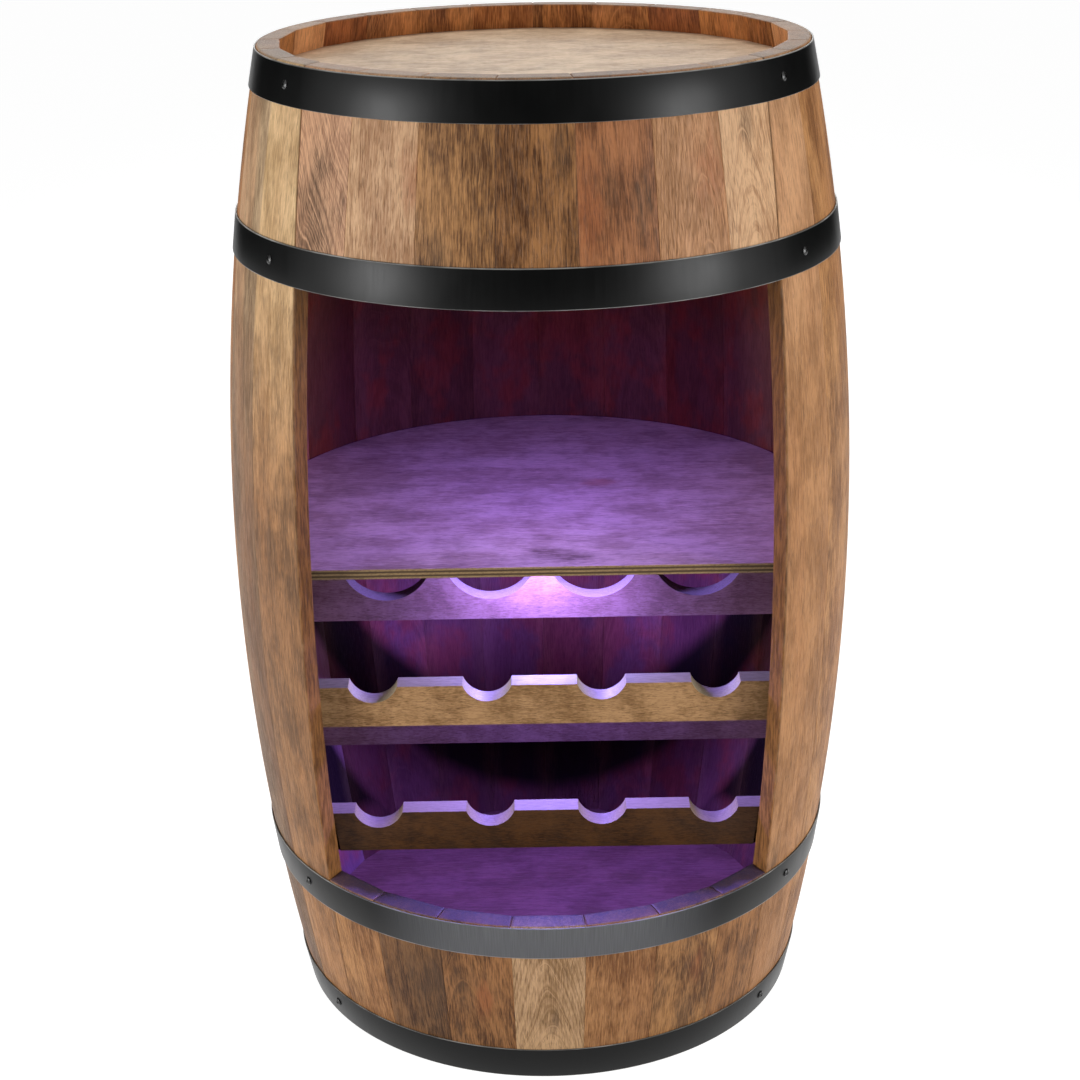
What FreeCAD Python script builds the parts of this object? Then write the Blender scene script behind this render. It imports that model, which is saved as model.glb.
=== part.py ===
import FreeCAD, Part
import math
import os

# Barrel bar cabinet: an upright coopered barrel of bowed staves under four steel hoops.
# The staves of the front are sawn short, above and below, to leave a tall opening.
# Inside it stand a display shelf, two tiers of bottle rails and two battery push lights.
#
# Millimetres. Z is up, the barrel's axis is x = y = 0, the floor is z = 0 and the front faces -Y.
# Angles round the barrel are degrees from the front, growing towards +X.

Vector = FreeCAD.Vector
ORIGIN = Vector(0, 0, 0)
ACROSS = Vector(1, 0, 0)
BACK = Vector(0, 1, 0)
UP = Vector(0, 0, 1)
full_turn = 360.0
half_turn = 180.0
quarter_turn = 90.0
sides = {"left": -1, "right": 1}

# Barrel body: circular-arc bilge, round outside, flat inner face on every stave.
barrel_height = 800.0
belly_radius = 254.0
belly_bulge = 42.0
stave_thickness = 18.0

# Front opening: sawn jamb faces, bevelled towards the middle of the barrel.
jamb_half_width = 184.0
jamb_bevel_angle = 30.0
sill_reveal = 1.0
front_stave_count = 7
side_stave_count = 9

# Heads: round boards let into croze grooves near the ends of the staves.
head_thickness = 10.0
top_head_recess = 20.0
bottom_head_recess = 14.0
croze_depth = 6.0
board_clearance = 0.3

# Hoops: flat steel bands, lapped and riveted at the back.
hoop_width = 29.5
hoop_thickness = 1.2
hoop_clearance = 0.1
end_hoop_inset = 1.0
middle_hoop_inset = 125.5
hoop_lap_angle = 12.0

# Hoop screws and hoop rivets: domed heads on the band, shanks pointing at the axis.
screw_head_radius = 3.4
screw_rim_height = 0.7
screw_head_height = 2.0
screw_shank_radius = 1.5
screw_tip_length = 4.0
screw_tip_wall = 2.0
pilot_overdrill = 2.9
screw_clearance = 0.15
seat_clearance = 0.05
recess_width_share = 0.24
recess_length_share = 1.1
recess_depth_share = 0.5
screw_place_shares = (0.0, 0.625)
rivet_head_radius = 4.0
rivet_rim_height = 0.3
rivet_head_height = 1.7
rivet_radius = 2.0

# Shelf: a plywood disc with a straight front edge, carried on pins in the staves.
shelf_top = 419.0
shelf_thickness = 8.0
front_setback = 28.1
wall_clearance = 0.3
pin_radius = 3.0
pin_reach = 12.0
pin_bite = 10.0
pin_clearance = 0.1
pin_place_shares = (0.0, 0.375, 0.875)

# Bottle rails: neck rails at the front, body rails behind, notched at one pitch.
rail_thickness = 18.0
bottle_pitch = 90.0
bottle_count = 4
neck_rail_height = 34.0
neck_notch_radius = 20.5
neck_notch_depth = 13.6
upper_neck_rail_bottom = 285.5
lower_neck_rail_bottom = 174.5
body_rail_front = 36.0
body_rail_height = 45.0
body_notch_radius = 40.0
body_notch_depth = 26.4
upper_body_rail_bottom = 298.0
lower_body_rail_bottom = 178.0

# Rail screws: one in a pocket at each rail end, driven from behind the rail into the stave.
pocket_angle = 30.0
pocket_radius = 4.5
pocket_grip = 15.0
pocket_place_share = 0.35
rail_screw_bite = 10.0
rail_screw_radius = 1.8
rail_screw_head_radius = 3.8
rail_screw_rim_height = 1.2
rail_screw_head_height = 2.4
rail_screw_tip_length = 5.0

# Push lights: a base stuck up with a foam pad, batteries, a lamp board, and a cover ring
# whose lip keeps a lens that is pressed upwards to work the switch.
shelf_light_place = 8.0
head_light_place = 80.0
pad_radius = 25.0
pad_thickness = 1.0
light_wall = 2.0
light_margin = 4.4
battery_radius = 5.2
battery_length = 44.5
battery_count = 3
battery_gap = 0.4
boss_radius = 2.5
boss_count = 4
board_thickness = 1.2
switch_radius = 3.0
switch_height = 1.6
lamp_size = 5.0
lamp_height = 0.8
lamp_count = 6
lamp_ring_share = 0.6
lens_travel = 1.5
press_gap = 0.1
lens_clearance = 0.3
lens_flange_height = 1.5
lens_seat_gap = 0.05
lens_wall = 1.8
lens_edge_radius = 2.5
lens_post_radius = 2.4
lens_projection = 5.0
lip_width = 1.6
lip_height = 1.5

# Cutting tools run this far past what they cut.
overrun = 2.0

# Values that follow from the sizes above.
mid_height = barrel_height / 2
end_radius = belly_radius - belly_bulge
bow = 2 * belly_bulge / (mid_height ** 2 + belly_bulge ** 2)
hoop_bottoms = {
    "bottom_hoop": end_hoop_inset,
    "lower_hoop": middle_hoop_inset,
    "upper_hoop": barrel_height - middle_hoop_inset - hoop_width,
    "top_hoop": barrel_height - end_hoop_inset - hoop_width,
}
opening_bottom = hoop_bottoms["lower_hoop"] + hoop_width + sill_reveal
opening_top = hoop_bottoms["upper_hoop"]
screw_length = hoop_thickness + hoop_clearance + stave_thickness - croze_depth - screw_tip_wall
top_head_bottom = barrel_height - top_head_recess - head_thickness
shelf_bottom = shelf_top - shelf_thickness
bevel = math.radians(jamb_bevel_angle)
jamb_outer_depth = math.sqrt(belly_radius ** 2 - jamb_half_width ** 2)
inner_front = jamb_outer_depth - front_setback
bottle_places = [(index - (bottle_count - 1) / 2) * bottle_pitch for index in range(bottle_count)]


def radius_at(height, depth=0.0):
    """Barrel radius at a height, measured to a surface that lies depth inside the outer one."""
    curvature = bow / (1 - bow * depth)
    along = height - mid_height
    drop = curvature * along ** 2 / (1 + math.sqrt(1 - (curvature * along) ** 2))
    return belly_radius - depth - drop


def jamb_angle(radius):
    """Angle from the front at which the sawn jamb plane meets a given radius."""
    along = jamb_half_width * math.sin(bevel) + jamb_outer_depth * math.cos(bevel)
    step = math.sqrt(along ** 2 - belly_radius ** 2 + radius ** 2) - along
    return math.degrees(math.asin((jamb_half_width + step * math.sin(bevel)) / radius))


front_stave_angle = 2 * jamb_angle(end_radius) / front_stave_count
side_stave_angle = (half_turn - jamb_angle(belly_radius)) / side_stave_count


def side_stave_middle(number):
    """Middle angle of a full stave, counted backwards from the jamb."""
    end = half_turn - (side_stave_count - number) * side_stave_angle
    start = jamb_angle(end_radius) if number == 1 else end - side_stave_angle
    return (start + end) / 2


def stave_angle_at(share):
    """Middle angle of the full stave at a share of the way from the jamb to the back."""
    return side_stave_middle(1 + round(share * (side_stave_count - 1)))


def turned(shape, angle):
    """A copy of a shape built along +X, turned to an angle from the front."""
    copy = shape.copy()
    copy.rotate(ORIGIN, UP, angle - quarter_turn)
    return copy


def cut_where_met(shape, tools):
    """Cut a shape with every tool that reaches it."""
    for tool in tools:
        if shape.BoundBox.intersect(tool.BoundBox):
            shape = shape.cut(tool)
    return shape


def barrel_face(bottom, top, depth, inner_radius=0.0):
    """Half section of the barrel in the XZ plane, out to a surface depth inside the outer one."""
    middle = (bottom + top) / 2
    low = Vector(radius_at(bottom, depth), 0, bottom)
    high = Vector(radius_at(top, depth), 0, top)
    bulge = Vector(radius_at(middle, depth), 0, middle)
    inner_low = Vector(inner_radius, 0, bottom)
    inner_high = Vector(inner_radius, 0, top)
    edges = [
        Part.LineSegment(inner_low, low).toShape(),
        Part.Arc(low, bulge, high).toShape(),
        Part.LineSegment(high, inner_high).toShape(),
        Part.LineSegment(inner_high, inner_low).toShape(),
    ]
    return Part.Face(Part.Wire(edges))


def inside_barrel(bottom, top):
    """The round space inside the staves, a clearance short of their flat faces."""
    face = barrel_face(bottom - overrun, top + overrun, stave_thickness + wall_clearance)
    return face.revolve(ORIGIN, UP, full_turn)


def stave_blank(start, end, middle):
    """A full-height stave between two joints, hollowed by a bowed flat face square to its middle."""
    section = barrel_face(0, barrel_height, 0, end_radius / 2)
    wedge = turned(section, start).revolve(ORIGIN, UP, end - start)
    hollow = barrel_face(-overrun, barrel_height + overrun, stave_thickness)
    hollow.translate(BACK * (-belly_radius / 2))
    return wedge.cut(turned(hollow.extrude(BACK * belly_radius), middle))


def opening_side(side):
    """Everything on the opening's side of one sawn jamb plane."""
    along = Vector(side * math.sin(bevel), -math.cos(bevel), 0)
    inwards = Vector(-side * math.cos(bevel), -math.sin(bevel), 0)
    corner = Vector(side * jamb_half_width, -jamb_outer_depth, -overrun)
    reach = 2 * belly_radius
    points = [
        corner + along * reach,
        corner + along * reach + inwards * reach,
        corner - along * reach + inwards * reach,
        corner - along * reach,
    ]
    face = Part.Face(Part.makePolygon(points + points[:1]))
    return face.extrude(UP * (barrel_height + 2 * overrun))


def side_stave(number, side):
    """A full stave of one side; the first of them is sawn to the jamb plane."""
    end = half_turn - (side_stave_count - number) * side_stave_angle
    start = end - side_stave_angle
    if number == 1:
        start = start - side_stave_angle / 2
    low, high = sorted((side * start, side * end))
    blank = stave_blank(low, high, side * side_stave_middle(number))
    if number == 1:
        blank = blank.cut(opening_side(side))
    return blank


def front_stave(index):
    """A full-height front stave, before it is sawn short; the outermost ones meet the jamb planes."""
    start = (index - front_stave_count / 2) * front_stave_angle
    end = start + front_stave_angle
    middle = (start + end) / 2
    if index == 0:
        return stave_blank(start - front_stave_angle, end, middle).common(opening_side(sides["left"]))
    if index == front_stave_count - 1:
        return stave_blank(start, end + front_stave_angle, middle).common(opening_side(sides["right"]))
    return stave_blank(start, end, middle)


def level_slab(bottom, top):
    """A block as wide as the barrel between two heights."""
    corner = Vector(-belly_radius, -belly_radius, bottom)
    return Part.makeBox(2 * belly_radius, 2 * belly_radius, top - bottom, corner)


def croze_radius(bottom):
    """Radius of the groove that holds a head whose underside is at a height."""
    return radius_at(bottom + head_thickness / 2, stave_thickness) + croze_depth


def croze_tool(bottom):
    """Disc that cuts the groove for a head."""
    return Part.makeCylinder(croze_radius(bottom), head_thickness, UP * bottom)


def head(bottom):
    """Round head board standing in its groove."""
    return Part.makeCylinder(croze_radius(bottom) - board_clearance, head_thickness, UP * bottom)


def hoop_seat(bottom):
    """Lower and upper edge of a hoop's inner face in the XZ plane, its outward direction and tilt."""
    low = Vector(radius_at(bottom) + hoop_clearance, 0, bottom)
    high = Vector(radius_at(bottom + hoop_width) + hoop_clearance, 0, bottom + hoop_width)
    slope = (high - low).normalize()
    outwards = Vector(slope.z, 0, -slope.x)
    tilt = math.degrees(math.atan2(outwards.z, outwards.x))
    return low, high, outwards, tilt


def hoop_band(bottom, lift, start, angle):
    """A flat band lying lift above a hoop's seat, from an angle onwards."""
    low, high, outwards, tilt = hoop_seat(bottom)
    inner = outwards * lift
    outer = outwards * (lift + hoop_thickness)
    points = [low + inner, high + inner, high + outer, low + outer]
    face = Part.Face(Part.makePolygon(points + points[:1]))
    return turned(face, start).revolve(ORIGIN, UP, angle)


def on_hoop(shape, bottom, lift, angle):
    """Stand a fastener, built along +X, on a hoop at an angle from the front."""
    low, high, outwards, tilt = hoop_seat(bottom)
    placed = shape.copy()
    placed.rotate(ORIGIN, BACK, -tilt)
    placed.translate((low + high) * (1 / 2) + outwards * lift)
    return turned(placed, angle)


def domed_fastener(head_radius, rim_height, head_height, shank_radius, length, tip_length):
    """A screw or rivet along X: head on +X from x = 0, shank and its taper on -X."""
    crown = head_height - rim_height
    dome_radius = (crown ** 2 + head_radius ** 2) / (2 * crown)
    dome_middle = head_height - dome_radius + math.sqrt(dome_radius ** 2 - head_radius ** 2 / 4)
    tip_radius = shank_radius / 4 if tip_length else shank_radius
    outline = [
        Vector(head_height, 0, 0),
        Vector(-length, 0, 0),
        Vector(-length, tip_radius, 0),
        Vector(tip_length - length, shank_radius, 0),
        Vector(0, shank_radius, 0),
        Vector(0, head_radius, 0),
        Vector(rim_height, head_radius, 0),
    ]
    corners = [point for index, point in enumerate(outline) if index == 0 or point != outline[index - 1]]
    edges = [Part.LineSegment(a, b).toShape() for a, b in zip(corners, corners[1:])]
    dome = Part.Arc(outline[-1], Vector(dome_middle, head_radius / 2, 0), outline[0])
    return Part.Face(Part.Wire(edges + [dome.toShape()])).revolve(ORIGIN, ACROSS, full_turn)


def cross_recess(head_radius, head_height):
    """The crossed slots of a screw head."""
    width = head_radius * recess_width_share
    length = head_radius * recess_length_share
    depth = head_height * recess_depth_share
    corner = Vector(head_height - depth, -width / 2, -length / 2)
    slot = Part.makeBox(depth + overrun, width, length, corner)
    crossing = slot.copy()
    crossing.rotate(ORIGIN, ACROSS, quarter_turn)
    return slot.fuse(crossing)


def hoop_screw():
    """Black pan-head wood screw."""
    body = domed_fastener(screw_head_radius, screw_rim_height, screw_head_height,
                          screw_shank_radius, screw_length, screw_tip_length)
    return body.cut(cross_recess(screw_head_radius, screw_head_height))


def hoop_screw_hole():
    """Pilot hole for a hoop screw, through the band and into the stave past the screw's tip."""
    depth = screw_length + pilot_overdrill
    return Part.makeCylinder(screw_shank_radius + screw_clearance, depth + overrun, ACROSS * -depth, ACROSS)


def hoop_rivet():
    """Rivet through the two layers of a hoop's lap."""
    return domed_fastener(rivet_head_radius, rivet_rim_height, rivet_head_height,
                          rivet_radius, 2 * hoop_thickness + seat_clearance, 0)


def hoop_rivet_hole():
    """Hole for a rivet through both layers of the lap."""
    reach = 2 * hoop_thickness + overrun
    length = reach + overrun
    return Part.makeCylinder(rivet_radius + screw_clearance, length, ACROSS * -reach, ACROSS)


def screw_angles():
    """Angles of the screws of one hoop."""
    return [side * stave_angle_at(share) for side in sides.values() for share in screw_place_shares]


def rivet_angles():
    """Angles of the rivets of one hoop's lap."""
    return [half_turn - hoop_lap_angle / 4, half_turn + hoop_lap_angle / 4]


def on_every_hoop(shape, lift, angles):
    """Copies of a fastener on all hoops, at the given angles."""
    return [on_hoop(shape, bottom, lift, angle) for bottom in hoop_bottoms.values() for angle in angles]


def hoop(bottom):
    """One hoop with its lapped end at the back, drilled for its screws and rivets."""
    ring = hoop_band(bottom, 0, 0, full_turn)
    lap = hoop_band(bottom, hoop_thickness, half_turn - hoop_lap_angle / 2, hoop_lap_angle)
    screw_holes = [on_hoop(hoop_screw_hole(), bottom, hoop_thickness, angle) for angle in screw_angles()]
    rivet_holes = [on_hoop(hoop_rivet_hole(), bottom, 2 * hoop_thickness, angle) for angle in rivet_angles()]
    return cut_where_met(ring.fuse(lap).removeSplitter(), screw_holes + rivet_holes)


def shelf():
    """Plywood shelf that follows the wall, with a straight edge between the jambs."""
    front = Vector(-belly_radius, -inner_front, shelf_bottom)
    plate = Part.makeBox(2 * belly_radius, inner_front + belly_radius, shelf_thickness, front)
    return plate.common(inside_barrel(shelf_bottom, shelf_top))


def pin_places():
    """Angles of the shelf pins."""
    return [side * stave_angle_at(share) for side in sides.values() for share in pin_place_shares]


def shelf_pin(clearance):
    """A pin along X from inside the stave to under the shelf; a clearance makes its hole."""
    height = shelf_bottom - pin_radius - seat_clearance
    wall = radius_at(height, stave_thickness)
    start = Vector(wall - pin_reach, 0, height)
    return Part.makeCylinder(pin_radius + clearance, pin_reach + pin_bite + clearance, start, ACROSS)


def rail_pocket_axis(front, bottom, height, side):
    """Where a rail screw crosses from a rail into the stave, and the way it points."""
    place = front + pocket_place_share * rail_thickness
    middle = bottom + height / 2
    wall = radius_at(middle, stave_thickness)
    crossing = Vector(side * math.sqrt(wall ** 2 - place ** 2), place, middle)
    angle = math.radians(pocket_angle)
    return crossing, Vector(side * math.cos(angle), -math.sin(angle), 0)


def rail_screw(front, bottom, height, side):
    """Pocket screw at one end of a rail."""
    crossing, pointing = rail_pocket_axis(front, bottom, height, side)
    body = domed_fastener(rail_screw_head_radius, rail_screw_rim_height, rail_screw_head_height,
                          rail_screw_radius, pocket_grip + rail_screw_bite, rail_screw_tip_length)
    body = body.cut(cross_recess(rail_screw_head_radius, rail_screw_head_height))
    body.rotate(ORIGIN, UP, math.degrees(math.atan2(-pointing.y, -pointing.x)))
    body.translate(crossing - pointing * pocket_grip)
    return body


def rail_screw_tools(front, bottom, height, side):
    """Pocket with its seat, and the hole ahead of it that runs on into the stave."""
    crossing, pointing = rail_pocket_axis(front, bottom, height, side)
    seat = crossing - pointing * pocket_grip
    depth = rail_thickness / math.sin(math.radians(pocket_angle))
    pocket = Part.makeCylinder(pocket_radius, depth, seat - pointing * depth, pointing)
    reach = pocket_grip + rail_screw_bite + screw_clearance
    return pocket, Part.makeCylinder(rail_screw_radius + screw_clearance, reach, seat, pointing)


def rail(front, bottom, height, notch_radius, notch_depth):
    """A notched rail from wall to wall, pocketed at both ends for its screws."""
    blank = Part.makeBox(2 * belly_radius, rail_thickness, height, Vector(-belly_radius, front, bottom))
    centre_height = bottom + height - notch_depth + notch_radius
    for place in bottle_places:
        start = Vector(place, front - overrun, centre_height)
        blank = blank.cut(Part.makeCylinder(notch_radius, rail_thickness + 2 * overrun, start, BACK))
    blank = blank.common(inside_barrel(bottom, bottom + height))
    for side in sides.values():
        blank = cut_where_met(blank, rail_screw_tools(front, bottom, height, side))
    return blank


neck_notch = (neck_rail_height, neck_notch_radius, neck_notch_depth)
body_notch = (body_rail_height, body_notch_radius, body_notch_depth)
rails = {
    "upper_neck_rail": (-inner_front, upper_neck_rail_bottom) + neck_notch,
    "lower_neck_rail": (-inner_front, lower_neck_rail_bottom) + neck_notch,
    "upper_body_rail": (body_rail_front, upper_body_rail_bottom) + body_notch,
    "lower_body_rail": (body_rail_front, lower_body_rail_bottom) + body_notch,
}
rail_ends = [sizes[:3] + (side,) for sizes in rails.values() for side in sides.values()]

# Levels of a push light, downwards from the surface that it is stuck to.
plate_low = -pad_thickness - light_wall
board_top = plate_low - 2 * battery_gap - 2 * battery_radius
board_low = board_top - board_thickness
flange_top = board_low - switch_height - press_gap - lens_travel
flange_low = flange_top - lens_flange_height
lip_top = flange_low - lens_seat_gap
cover_low = lip_top - lip_height
lens_low = cover_low - lens_projection
boss_ring = battery_length / 2 + battery_gap + boss_radius
light_bore = boss_ring + boss_radius + light_margin
light_radius = light_bore + light_wall


def drum(radius, low, high, place=ORIGIN):
    """Upright cylinder between two levels."""
    return Part.makeCylinder(radius, high - low, place + UP * low)


def light_pad():
    """Foam mounting pad."""
    return drum(pad_radius, -pad_thickness, 0)


def light_base():
    """Base plate with the bosses that carry the lamp board."""
    plate = drum(light_radius, plate_low, -pad_thickness)
    for index in range(boss_count):
        boss = drum(boss_radius, board_top, plate_low, ACROSS * boss_ring)
        plate = plate.fuse(turned(boss, index * full_turn / boss_count))
    return plate.removeSplitter()


def light_batteries():
    """Row of cells under the base plate."""
    pitch = 2 * battery_radius + battery_gap
    level = plate_low - battery_gap - battery_radius
    cells = []
    for index in range(battery_count):
        place = (index - (battery_count - 1) / 2) * pitch
        start = Vector(-battery_length / 2, place, level)
        cells.append(Part.makeCylinder(battery_radius, battery_length, start, ACROSS))
    return Part.makeCompound(cells)


def light_board():
    """Lamp board with its ring of lamps and the switch in the middle."""
    board = drum(light_bore - lens_clearance, board_low, board_top)
    board = board.fuse(drum(switch_radius, board_low - switch_height, board_low))
    corner = Vector(light_bore * lamp_ring_share - lamp_size / 2, -lamp_size / 2, board_low - lamp_height)
    lamp = Part.makeBox(lamp_size, lamp_size, lamp_height, corner)
    for index in range(lamp_count):
        board = board.fuse(turned(lamp, index * full_turn / lamp_count))
    return board.removeSplitter()


def light_cover():
    """Cover ring with the lip that keeps the lens in."""
    ring = drum(light_radius, cover_low, plate_low)
    ring = ring.cut(drum(light_bore, lip_top, plate_low))
    return ring.cut(drum(light_bore - lip_width, cover_low, lip_top))


def light_lens():
    """Push lens: a rounded cup with a flange above the lip and a post under the switch."""
    radius = light_bore - lip_width - lens_clearance
    flange_radius = light_bore - lens_clearance
    bend = lens_edge_radius * (1 - math.sqrt(1 / 2))
    outline = [
        Vector(radius, 0, lens_low + lens_edge_radius),
        Vector(radius, 0, flange_low),
        Vector(flange_radius, 0, flange_low),
        Vector(flange_radius, 0, flange_top),
        Vector(0, 0, flange_top),
        Vector(0, 0, lens_low),
        Vector(radius - lens_edge_radius, 0, lens_low),
    ]
    edges = [Part.LineSegment(a, b).toShape() for a, b in zip(outline, outline[1:])]
    rounding = Part.Arc(outline[-1], Vector(radius - bend, 0, lens_low + bend), outline[0])
    cup = Part.Face(Part.Wire(edges + [rounding.toShape()])).revolve(ORIGIN, UP, full_turn)
    hollow = drum(radius - lens_wall, lens_low + lens_wall, flange_top)
    return cup.cut(hollow.cut(drum(lens_post_radius, lens_low + lens_wall, flange_top)))


light_pieces = {
    "pad": light_pad,
    "base": light_base,
    "batteries": light_batteries,
    "board": light_board,
    "cover": light_cover,
    "lens": light_lens,
}
lights = {
    "shelf_light": Vector(0, -shelf_light_place, shelf_bottom),
    "head_light": Vector(0, -head_light_place, top_head_bottom),
}


def stave_tools():
    """Grooves and holes that the staves are cut with."""
    tools = [croze_tool(bottom_head_recess), croze_tool(top_head_bottom)]
    tools += on_every_hoop(hoop_screw_hole(), hoop_thickness, screw_angles())
    tools += [turned(shelf_pin(pin_clearance), angle) for angle in pin_places()]
    tools += [rail_screw_tools(*end)[1] for end in rail_ends]
    return tools


def build():
    """All pieces by node name."""
    pieces = {}
    tools = stave_tools()
    for name, side in sides.items():
        for number in range(1, side_stave_count + 1):
            stave = cut_where_met(side_stave(number, side), tools)
            pieces["stave_%s_%d" % (name, number)] = stave
    above = level_slab(opening_top, barrel_height)
    below = level_slab(0, opening_bottom)
    for index in range(front_stave_count):
        stave = cut_where_met(front_stave(index), tools)
        pieces["upper_stave_%d" % (index + 1)] = stave.common(above)
        pieces["lower_stave_%d" % (index + 1)] = stave.common(below)
    for name, bottom in hoop_bottoms.items():
        pieces[name] = hoop(bottom)
    screws = on_every_hoop(hoop_screw(), hoop_thickness + seat_clearance, screw_angles())
    pieces["hoop_screws"] = Part.makeCompound(screws)
    rivets = on_every_hoop(hoop_rivet(), 2 * hoop_thickness + seat_clearance, rivet_angles())
    pieces["hoop_rivets"] = Part.makeCompound(rivets)
    pieces["top_head"] = head(top_head_bottom)
    pieces["bottom_head"] = head(bottom_head_recess)
    pieces["shelf"] = shelf()
    pieces["shelf_pins"] = Part.makeCompound([turned(shelf_pin(0), angle) for angle in pin_places()])
    for name, sizes in rails.items():
        pieces[name] = rail(*sizes)
    pieces["rail_screws"] = Part.makeCompound([rail_screw(*end) for end in rail_ends])
    for name, place in lights.items():
        for part, make in light_pieces.items():
            shape = make()
            shape.translate(place)
            pieces["%s_%s" % (name, part)] = shape
    return pieces


os.makedirs("parts", exist_ok=True)
for node, piece in build().items():
    piece.exportStep("parts/%s.step" % node)
    print("%s: %d solids, volume %.0f, valid %s" % (node, len(piece.Solids), piece.Volume, piece.isValid()))
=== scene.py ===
from functools import partial, reduce
import math

import bmesh
import bpy
from mathutils import Matrix, Vector


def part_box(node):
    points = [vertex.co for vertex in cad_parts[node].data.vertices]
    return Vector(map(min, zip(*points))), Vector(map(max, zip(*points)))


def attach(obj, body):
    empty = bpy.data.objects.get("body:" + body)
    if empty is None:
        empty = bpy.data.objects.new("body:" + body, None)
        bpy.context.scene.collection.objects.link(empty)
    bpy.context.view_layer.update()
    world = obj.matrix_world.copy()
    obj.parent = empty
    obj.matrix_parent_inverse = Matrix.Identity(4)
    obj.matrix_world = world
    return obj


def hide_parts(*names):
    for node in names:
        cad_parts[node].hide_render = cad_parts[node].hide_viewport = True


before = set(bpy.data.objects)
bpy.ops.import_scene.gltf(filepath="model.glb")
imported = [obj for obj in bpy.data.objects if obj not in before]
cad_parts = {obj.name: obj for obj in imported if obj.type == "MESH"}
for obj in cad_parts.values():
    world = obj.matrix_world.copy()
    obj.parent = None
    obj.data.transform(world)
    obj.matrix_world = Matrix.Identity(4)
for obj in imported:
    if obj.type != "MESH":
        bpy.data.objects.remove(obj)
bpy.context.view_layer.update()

# Staves: bowed hardwood boards, turned round outside and planed flat inside, glued edge to edge.
# Nine full ones stand on each side. The seven at the front are sawn short above and below the
# opening, and the first board of each side has its edge sawn to a slanting jamb.
barrel_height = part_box("stave_left_5")[1].z
opening_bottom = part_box("lower_stave_4")[1].z
opening_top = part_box("upper_stave_4")[0].z
mid_height = barrel_height / 2
belly_radius = 0.254
belly_bulge = 0.042
bow_radius = (mid_height ** 2 + belly_bulge ** 2) / (2 * belly_bulge)
stave_thickness = 0.018
croze_depth = 0.006
jamb_half_width = 0.184
jamb_bevel = math.radians(30)
jamb_depth = math.sqrt(belly_radius ** 2 - jamb_half_width ** 2)
front_stave_count = 7
side_stave_count = 9
joint_rounding = 0.0005
jamb_rounding = 0.0011
end_rounding = 0.0012
wear_width = 0.0016
level_step = 0.024
outer_steps = 8
inner_steps = 4
corner_steps = 3
# Share of the inner wash at the inner joints: being below one, it leaves faint lighter lines there, a painted
# highlight.
joint_highlight_wash_share = 0.9
sink_step = 0.0001
sides = {"left": -1, "right": 1}


def radius_at(height, depth=0.0):
    """Barrel radius at a height, to a surface that lies depth inside the outer one."""
    bow = bow_radius - depth
    return belly_radius - bow_radius + math.sqrt(bow ** 2 - (height - mid_height) ** 2)


def outward(angle):
    """Plan direction at an angle from the front, growing towards +X."""
    return Vector((math.sin(angle), -math.cos(angle)))


def meets_circle(point, direction, radius):
    """Where a line in plan leaves a circle round the barrel's axis."""
    reach = point.dot(direction)
    return point + direction * (math.sqrt(reach ** 2 - point.length_squared + radius ** 2) - reach)


def joint_face(angle, into):
    """Radial joint face as a point, its direction and the way into the board."""
    return Vector((0, 0)), outward(angle), Vector((math.cos(angle), math.sin(angle))) * into


def jamb_face(side, into):
    """Sawn jamb face of one side, in the same form."""
    corner = Vector((side * jamb_half_width, -jamb_depth))
    return corner, *joint_face(side * jamb_bevel, side * into)[1:]


def jamb_angle(radius):
    """Angle from the front at which the jamb plane meets a radius."""
    place = meets_circle(*jamb_face(1, 1)[:2], radius)
    return math.atan2(place.x, -place.y)


def rounded_corner(before, corner, after, radius):
    """Points of a small round from one side of a corner to the other."""
    start = corner + (before - corner).normalized() * radius
    end = corner + (after - corner).normalized() * radius
    points = []
    for step in range(corner_steps + 1):
        share = step / corner_steps
        points.append(start.lerp(corner, share).lerp(corner.lerp(end, share), share))
    return points


def jamb_chips(height):
    """Uneven arris of a sawn jamb: how much wider its round is at a height."""
    slow = math.sin(height * 61) * math.sin(height * 23 + 1.3)
    quick = max(0.0, math.sin(height * 173 + 0.7) * math.sin(height * 47))
    return 0.95 + 0.05 * slow + 0.08 * quick ** 3


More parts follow.
